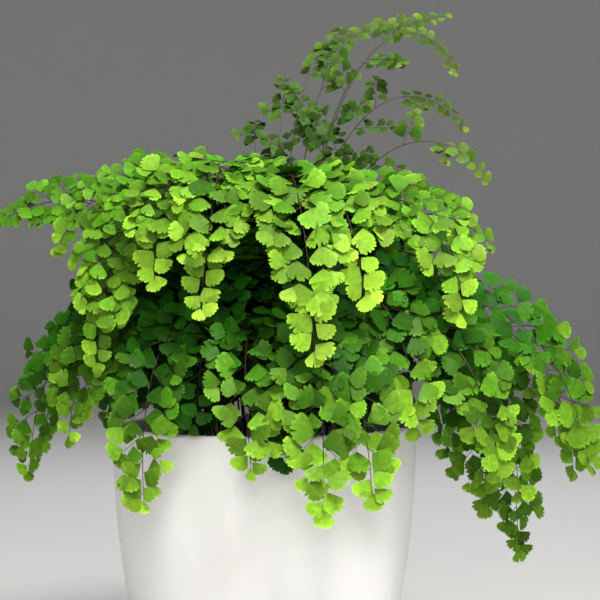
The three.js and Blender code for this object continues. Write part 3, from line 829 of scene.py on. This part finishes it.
def ages_along(ages, share):
    """How young the first and the last leaflets are of a rib that leaves a stalk at a share."""
    old, young = ages
    here = old + (young - old) * share**STALK_YOUTH_POWER
    return here, here + SIDE_RIB_YOUTH * (young - old)


def grow(number):
    """A frond as two pieces, its leaflets and its stems, which stand for the frond's solid."""
    kind_name, size = FRONDS[number][0], FRONDS[number][-1] * MM
    kind = KINDS[kind_name]
    random = np.random.default_rng(SEED + number)
    stalk = Stalk(number)
    mirror = 1 if number % 2 else -1
    stems = Net("young")
    young = 1.0 if kind_name == "spray" else 0.0
    add_stalk(stems, stalk, young)
    groups = []
    step = kind.leaflet_step
    last = 0
    # Painted shade: fronds turned away from the light take older, darker leaf colours.
    frond_ages_with_painted_shade = ages_with_painted_shade(kind, stalk.azimuth)
    for share, hand, rib in side_ribs(kind, stalk, mirror, random):
        add_rib(stems, rib, np.linspace(0, 1, SIDE_RIB_RINGS), SIDE_RIB_RADIUS, SIDE_RIB_SIDES, young)
        bare = min(SIDE_RIB_BARE / rib.length, MOST_BARE)
        ages = ages_along(frond_ages_with_painted_shade, share)
        if rib.length > TWIG_BEARER:
            for place, side_hand, twig in twigs(rib, hand, random):
                add_rib(stems, twig, np.linspace(0, 1, TWIG_RINGS), TWIG_RADIUS, TWIG_SIDES, young)
                groups.append(leaves_on(twig, TWIG_BARE / twig.length, side_hand, size, step, ages, random))
            bare = TWIGGED
        groups.append(leaves_on(rib, bare, hand, size, step, ages, random))
        last = max(last, share)
    ages = ages_along(frond_ages_with_painted_shade, last)[0], frond_ages_with_painted_shade[1]
    groups.append(leaves_on(stalk, last, mirror, size, step, ages, random))
    leaves = Leaflets(*(np.concatenate(rows) for rows in zip(*groups)))
    stems.add(*struts(leaves.foot, leaves.hub, leaves.normal, STALKLET_RADIUS), young=young)
    blades = Net("age", "tone")
    points, places = leaflet_points(leaves, random)
    count, each = points.shape[:2]
    faces = LEAFLET_FACES + each * np.arange(count)[:, None, None]
    tone = np.repeat(random.random(count), each)
    age = np.repeat(leaves.age, each)
    blades.add(points.reshape(-1, 3), faces.reshape(-1, 3), places.reshape(-1, 2), age=age, tone=tone)
    node = f"{kind_name}_frond_{number + 1:02d}"
    for net, word, material, slot in (
        (blades, "leaflets", leaf_materials[kind_name], f"leaf_{kind_name}"),
        (stems, "stems", stem_material, "stalk"),
    ):
        made = net.piece(f"{node}_{word}", material)
        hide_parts(node)


# Planter and soil


def arc(centre_r, centre_z, radius, start, end, steps):
    """Points on a circle from one angle to another, in degrees."""
    a = np.radians(np.linspace(start, end, steps + 1))
    return np.stack([centre_r + radius * np.cos(a), centre_z + radius * np.sin(a)], axis=-1)


def pot_radius(height):
    """The rim's radius less the taper times a power of the share of the height below the rim."""
    return RIM_RADIUS - POT_TAPER * ((POT_HEIGHT - height) / POT_HEIGHT) ** POT_TAPER_POWER


def side(low, high, steps, inset):
    """Points along the planter's side from one height to another, moved in by an inset."""
    height = np.linspace(low, high, steps + 1)
    return np.stack([pot_radius(height) - inset, height], axis=-1)


def turn(profile, segments):
    """A profile of radius and height carried round the axis. Its first and last points are poles."""
    angle = np.linspace(0, 2 * np.pi, segments, endpoint=False)
    radius, height = profile[1:-1, 0, None], profile[1:-1, 1, None]
    rings = np.stack([radius * np.cos(angle), radius * np.sin(angle), height + 0 * angle], axis=-1)
    poles = np.array([[0, 0, profile[0, 1]], [0, 0, profile[-1, 1]]])
    count = len(profile) - 2
    first = np.arange(segments)
    faces = np.concatenate([
        grid_faces(count, segments, True),
        cap_faces(count * segments, first, False),
        cap_faces(count * segments + 1, first + (count - 1) * segments, True),
    ])
    return np.concatenate([rings.reshape(-1, 3), poles]), faces


def make_pot():
    """The planter: a base round, the curved side, a rounded rim and the inner wall, turned as one."""
    foot = pot_radius(BASE_ROUND) - BASE_ROUND
    profile = np.concatenate([
        [[0, 0]],
        arc(foot, BASE_ROUND, BASE_ROUND, *BASE_ARC),
        side(2 * BASE_ROUND, POT_HEIGHT - RIM_ROUND, SIDE_STEPS, 0),
        arc(RIM_RADIUS - RIM_ROUND, POT_HEIGHT - RIM_ROUND, RIM_ROUND, *RIM_ARC_OUTSIDE),
        arc(RIM_RADIUS - WALL + RIM_ROUND, POT_HEIGHT - RIM_ROUND, RIM_ROUND, *RIM_ARC_INSIDE),
        side(SOIL_TOP + BARE_INSIDE, FLOOR_THICK, INNER_STEPS, WALL),
        [[0, FLOOR_THICK]],
    ])
    net = Net()
    net.add(*turn(profile, POT_SEGMENTS))
    pot = net.piece("pot_body", glaze_material())
    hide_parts("pot")


def crumbs(x, y, random):
    """The mean of waves in random directions, less a level, summed over octaves of half the length and
    half the height, each wave folded to a crest so that the soil breaks into lumps."""
    height = np.zeros_like(x)
    for octave in range(CRUMB_OCTAVES):
        for _ in range(CRUMB_WAVES):
            angle, phase = random.uniform(0, 2 * np.pi, 2)
            reach = 2**octave / CRUMB_LENGTH
            wave = np.sin(2 * np.pi * reach * (x * np.cos(angle) + y * np.sin(angle)) + phase)
            height += (1 - np.abs(wave)) / 2**octave
    return height / CRUMB_WAVES - CRUMB_LEVEL


def make_soil():
    """The soil: its foot and wall lie just inside the planter, and its top is the mound with crumbs that
    fade at the wall."""
    random = np.random.default_rng(SEED)
    base = FLOOR_THICK + GAP
    wall = side(base, SOIL_TOP, SOIL_WALL_RINGS, WALL + GAP)
    inwards = wall[-1, 0] * (1 - np.arange(1, SOIL_RINGS) / SOIL_RINGS)
    top = np.stack([inwards, 0 * inwards + SOIL_TOP], axis=-1)
    profile = np.concatenate([[[0, base]], wall, top, [[0, SOIL_TOP]]])
    vertices, faces = turn(profile, SOIL_SEGMENTS)
    x, y, z = vertices.T
    fade = np.clip((wall[-1, 0] - np.hypot(x, y)) / CRUMB_FADE, 0, 1)
    lifted = swell(x, y) + SOIL_CRUMB * crumbs(x, y, random)
    vertices[:, 2] = np.where(z > SOIL_TOP - GAP, SOIL_TOP + (lifted - SOIL_TOP) * fade, z)
    net = Net()
    net.add(vertices, faces)
    soil = net.piece("soil_bed", soil_material())
    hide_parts("soil")


# Materials


class Nodes:
    """Short calls for a node tree: make a node, set its sockets by name, and link into them."""

    def __init__(self, tree):
        self.tree = tree
        self.tree.nodes.clear()

    def new(self, kind, inputs=None, **settings):
        """A node with settings, whose named inputs are set to values or linked from outputs."""
        node = self.tree.nodes.new(kind)
        for key, value in settings.items():
            setattr(node, key, value)
        for key, value in (inputs or {}).items():
            self.put(value, node.inputs[key])
        return node

    def put(self, value, socket):
        """A value or a link into a socket."""
        if isinstance(value, bpy.types.NodeSocket):
            self.tree.links.new(value, socket)
        else:
            socket.default_value = value

    def maths(self, operation, *values, clamp=False):
        """A Math node's result."""
        node = self.new("ShaderNodeMath", operation=operation, use_clamp=clamp)
        for value, socket in zip(values, node.inputs):
            self.put(value, socket)
        return node.outputs[0]

    def between(self, share, low, high):
        """The value at a share of the way from low to high."""
        return self.maths("MULTIPLY_ADD", share, high - low, low)

    def mix(self, factor, a, b, blend="MIX"):
        """A blend of two colours. Its sockets go by number, as some share a name."""
        node = self.new("ShaderNodeMix", data_type="RGBA", blend_type=blend)
        for value, index in ((factor, 0), (a, 6), (b, 7)):
            self.put(value, node.inputs[index])
        return node.outputs[2]

    def noise(self, coordinates, scale, detail):
        """A noise texture's value, from 0 to 1."""
        inputs = {"Vector": coordinates, "Scale": scale, "Detail": detail}
        return self.new("ShaderNodeTexNoise", inputs).outputs["Fac"]

    def band(self, value, low, high):
        """A value spread smoothly from 0 at low to 1 at high."""
        inputs = {"Value": value, "From Min": low, "From Max": high}
        node = self.new("ShaderNodeMapRange", inputs, interpolation_type="SMOOTHSTEP")
        return node.outputs["Result"]

    def bump(self, height, distance, strength):
        """A normal from a height."""
        inputs = {"Height": height, "Distance": distance, "Strength": strength}
        return self.new("ShaderNodeBump", inputs).outputs["Normal"]


def material(name):
    """An empty material and its nodes."""
    made = bpy.data.materials.new(name)
    made.use_nodes = True
    return made, Nodes(made.node_tree)


def rgb(red, green, blue):
    """A colour with full alpha."""
    return (red, green, blue, 1.0)


def leaf_tissue():
    """The group that every leaf shares. Colour goes from the old leaf's to the young one's, late in youth,
    and is varied by the leaflet's own tone, by a painted shade that darkens it towards the hub, by a
    painted glow that pales it at the rim, and it is paler along forking veins."""
    group = bpy.data.node_groups.new("leaf_tissue", "ShaderNodeTree")
    face = group.interface
    for name, kind in (
        ("Age", "NodeSocketFloat"),
        ("Tone", "NodeSocketFloat"),
        ("Fan", "NodeSocketVector"),
        ("Place", "NodeSocketVector"),
        ("Old", "NodeSocketColor"),
        ("Young", "NodeSocketColor"),
    ):
        face.new_socket(name, in_out="INPUT", socket_type=kind)
    for name, kind in (
        ("Color", "NodeSocketColor"),
        ("Roughness", "NodeSocketFloat"),
        ("Height", "NodeSocketFloat"),
    ):
        face.new_socket(name, in_out="OUTPUT", socket_type=kind)
    n = Nodes(group)
    given = n.new("NodeGroupInput").outputs
    split = n.new("ShaderNodeSeparateXYZ", {"Vector": given["Fan"]}).outputs
    aside = n.between(split["X"], -1.0, 1.0)
    angle = n.maths("ARCTAN2", aside, split["Y"])
    reach = n.maths("SQRT", n.maths("ADD", n.maths("POWER", aside, 2.0), n.maths("POWER", split["Y"], 2.0)))
    patches = n.noise(given["Place"], *LEAF_PATCHES)
    uneven = n.between(patches, -PATCHED_AGE, PATCHED_AGE)
    age = n.maths("ADD", given["Age"], uneven, clamp=True)
    colour = n.mix(n.maths("POWER", age, PALE_POWER), given["Old"], given["Young"])
    forks = n.between(n.band(reach, *FORK), *VEINS)
    across = n.maths("FRACT", n.maths("MULTIPLY_ADD", angle, forks, WHOLE_TURNS))
    veins = n.band(n.maths("ABSOLUTE", n.maths("SUBTRACT", across, 0.5)), *VEIN_EDGES)
    tone = n.between(given["Tone"], *LEAFLET_TONES)
    # Painted shade darkens the hub, and a painted glow pales the rim.
    hub = n.between(n.band(reach, *HUB_SHADE_REACH), *HUB_PAINTED_SHADE)
    rim_painted_glow = n.between(n.band(reach, *RIM_GLOW_REACH), *RIM_PAINTED_GLOW)
    lines = n.between(veins, *VEIN_TONES)
    tones_and_painted_light = n.maths("MULTIPLY", n.maths("MULTIPLY", tone, hub), n.maths("MULTIPLY", rim_painted_glow, lines))
    shaded = n.new("ShaderNodeVectorMath", {0: colour, "Scale": tones_and_painted_light}, operation="SCALE").outputs[0]
    rough = n.between(n.noise(given["Place"], *LEAF_GRAIN), *LEAF_ROUGHNESS)
    height = n.maths("ADD", n.maths("MULTIPLY", veins, VEIN_DEPTH), patches)
    n.new("NodeGroupOutput", {"Color": shaded, "Roughness": rough, "Height": height})
    return group


def leaf_material(name, group, old, young):
    """A leaf: the shared tissue in its own colours, with light that shines through it and comes out
    greener."""
    made, n = material(name)
    tissue = n.new("ShaderNodeGroup", node_tree=group)
    place = n.new("ShaderNodeTexCoord").outputs["Object"]
    fan = n.new("ShaderNodeUVMap", uv_map="blade").outputs["UV"]
    age = n.new("ShaderNodeAttribute", attribute_name="age").outputs["Fac"]
    tone = n.new("ShaderNodeAttribute", attribute_name="tone").outputs["Fac"]
    values = {"Age": age, "Tone": tone, "Fan": fan, "Place": place, "Old": rgb(*old), "Young": rgb(*young)}
    for key, value in values.items():
        n.put(value, tissue.inputs[key])
    normal = n.bump(tissue.outputs["Height"], *LEAF_BUMP)
    surface = n.new("ShaderNodeBsdfPrincipled", {
        "Base Color": tissue.outputs["Color"],
        "Roughness": tissue.outputs["Roughness"],
        "Normal": normal,
        "Specular IOR Level": LEAF_GLOSS,
    })
    sifted = n.mix(1.0, tissue.outputs["Color"], rgb(*SIFTED), "MULTIPLY")
    through = n.new("ShaderNodeBsdfTranslucent", {"Color": sifted, "Normal": normal})
    shares = {0: SHINES_THROUGH, 1: surface.outputs[0], 2: through.outputs[0]}
    both = n.new("ShaderNodeMixShader", shares)
    n.new("ShaderNodeOutputMaterial", {"Surface": both.outputs[0]})
    return made


def make_stem_material():
    """Wiry stalks: near black with a dull gloss, paler and browner in streaks, and greener where young."""
    made, n = material("stalk_wire")
    place = n.new("ShaderNodeTexCoord").outputs["Object"]
    young = n.new("ShaderNodeAttribute", attribute_name="young").outputs["Fac"]
    streaks = n.noise(place, *STREAKS)
    brown = n.mix(n.band(streaks, *STREAK_BAND), rgb(*STALK_BLACK), rgb(*STALK_BROWN))
    green = n.mix(n.maths("MULTIPLY", young, GREENED), brown, rgb(*STALK_GREEN))
    rough = n.between(streaks, *STALK_ROUGHNESS)
    surface = n.new("ShaderNodeBsdfPrincipled", {
        "Base Color": green,
        "Roughness": rough,
        "Specular IOR Level": STALK_GLOSS,
        "Normal": n.bump(streaks, *STALK_BUMP),
    })
    n.new("ShaderNodeOutputMaterial", {"Surface": surface.outputs[0]})
    return made


def glaze_material():
    """White glaze: a warm white that is a little uneven, faintly rippled, under a clear gloss."""
    made, n = material("white_glaze")
    place = n.new("ShaderNodeTexCoord").outputs["Object"]
    cloud = n.noise(place, *CLOUDS)
    specks = n.band(n.noise(place, *SPECKS), *SPECK_BAND)
    base = n.mix(n.band(cloud, *CLOUD_BAND), rgb(*GLAZE_DULL), rgb(*GLAZE_CLEAR))
    dotted = n.mix(n.maths("MULTIPLY", specks, SPECKED), base, rgb(*GLAZE_SPECK))
    ripple = n.noise(place, *RIPPLES)
    surface = n.new("ShaderNodeBsdfPrincipled", {
        "Base Color": dotted,
        "Roughness": n.between(cloud, *GLAZE_ROUGHNESS),
        "Normal": n.bump(ripple, *RIPPLE_BUMP),
        "Coat Weight": COAT,
        "Coat Roughness": COAT_ROUGHNESS,
    })
    n.new("ShaderNodeOutputMaterial", {"Surface": surface.outputs[0]})
    return made


def soil_material():
    """Potting mix: dark brown crumbs, with paler fibres here and there, rough and broken up."""
    made, n = material("potting_mix")
    place = n.new("ShaderNodeTexCoord").outputs["Object"]
    grain = n.noise(place, *GRAIN)
    clods = n.noise(place, *CLODS)
    brown = n.mix(n.band(clods, *CLOD_BAND), rgb(*SOIL_DARK), rgb(*SOIL_BROWN))
    fibres = n.band(grain, *FIBRE_BAND)
    mixed = n.mix(n.maths("MULTIPLY", fibres, FIBRED), brown, rgb(*SOIL_FIBRE))
    surface = n.new("ShaderNodeBsdfPrincipled", {
        "Base Color": mixed,
        "Roughness": n.between(grain, *SOIL_ROUGHNESS),
        "Normal": n.bump(grain, *SOIL_BUMP),
    })
    n.new("ShaderNodeOutputMaterial", {"Surface": surface.outputs[0]})
    return made


# Stage


def make_floor():
    """A plain pale floor that sweeps up all round, which isn't part of the object: a flat disc, a quarter
    of a circle and an upright edge, turned about the axis."""
    sweep = arc(STAGE_RADIUS - STAGE_SWEEP, STAGE_SWEEP, STAGE_SWEEP, *SWEEP_ARC)
    profile = np.concatenate([[[0, 0], [STAGE_FLAT, 0]], sweep, [[STAGE_RADIUS, STAGE_HEIGHT]]])
    angle = np.linspace(0, 2 * np.pi, STAGE_SEGMENTS, endpoint=False)
    radius, height = profile[:, 0, None], profile[:, 1, None]
    rings = np.stack([radius * np.cos(angle), radius * np.sin(angle), height + 0 * angle], axis=-1)
    faces = grid_faces(len(profile), len(angle), True)
    mesh = bpy.data.meshes.new("floor")
    mesh.from_pydata(rings.reshape(-1, 3), [], faces[:, ::-1].tolist())
    mesh.shade_smooth()
    made, n = material("pale_floor")
    matt = {"Base Color": rgb(*STAGE_COLOUR), "Roughness": STAGE_ROUGHNESS}
    surface = n.new("ShaderNodeBsdfPrincipled", matt)
    n.new("ShaderNodeOutputMaterial", {"Surface": surface.outputs[0]})
    mesh.materials.append(made)
    floor = bpy.data.objects.new("floor", mesh)
    bpy.context.scene.collection.objects.link(floor)
    floor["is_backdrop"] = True


def aim(made, target):
    """Turns a light or camera to look at a point."""
    away = Vector(target) - made.location
    made.rotation_euler = away.to_track_quat("-Z", "Y").to_euler()


def add_light(name, place, size, power, colour, mirrored):
    """A square soft light that looks at the plant and isn't seen itself, but may be in reflections."""
    light = bpy.data.lights.new(name, "AREA")
    light.shape = "SQUARE"
    light.size = size
    light.energy = power
    light.color = colour
    made = bpy.data.objects.new(name, light)
    made.location = place
    made.visible_camera = False
    made.visible_glossy = mirrored
    aim(made, LIT_POINT)
    bpy.context.scene.collection.objects.link(made)


def make_lights():
    """Soft daylight from above the viewer's right shoulder, weak fills from further in front and from
    above the back, and a pale surround."""
    for light in LIGHTS:
        add_light(*light)
    world = bpy.data.worlds.new("studio")
    world.use_nodes = True
    surround = world.node_tree.nodes["Background"].inputs
    surround["Color"].default_value = rgb(*SURROUND)
    surround["Strength"].default_value = SURROUND_STRENGTH
    bpy.context.scene.world = world


def make_camera():
    """The photograph's view: 1 m in front and nearly level, at half the foliage's height, on a long
    lens."""
    camera = bpy.data.cameras.new("camera")
    camera.sensor_width = SENSOR_WIDTH
    camera.lens = LENS
    made = bpy.data.objects.new("camera", camera)
    made.location = VIEW_FROM
    aim(made, VIEW_TO)
    bpy.context.scene.collection.objects.link(made)
    bpy.context.scene.camera = made


tissue_group = leaf_tissue()
leaf_materials = {
    kind: leaf_material(f"leaf_{kind}", tissue_group, *colours) for kind, colours in LEAF_COLOURS.items()
}
stem_material = make_stem_material()

make_camera()
make_lights()
make_floor()
make_pot()
make_soil()
for number in range(len(FRONDS)):
    grow(number)

bpy.context.scene.view_settings.view_transform = "Standard"

sizes = {"cad": cad_bounds, "visual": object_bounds()}
{key: [list(corner) for corner in box] for key, box in sizes.items()}
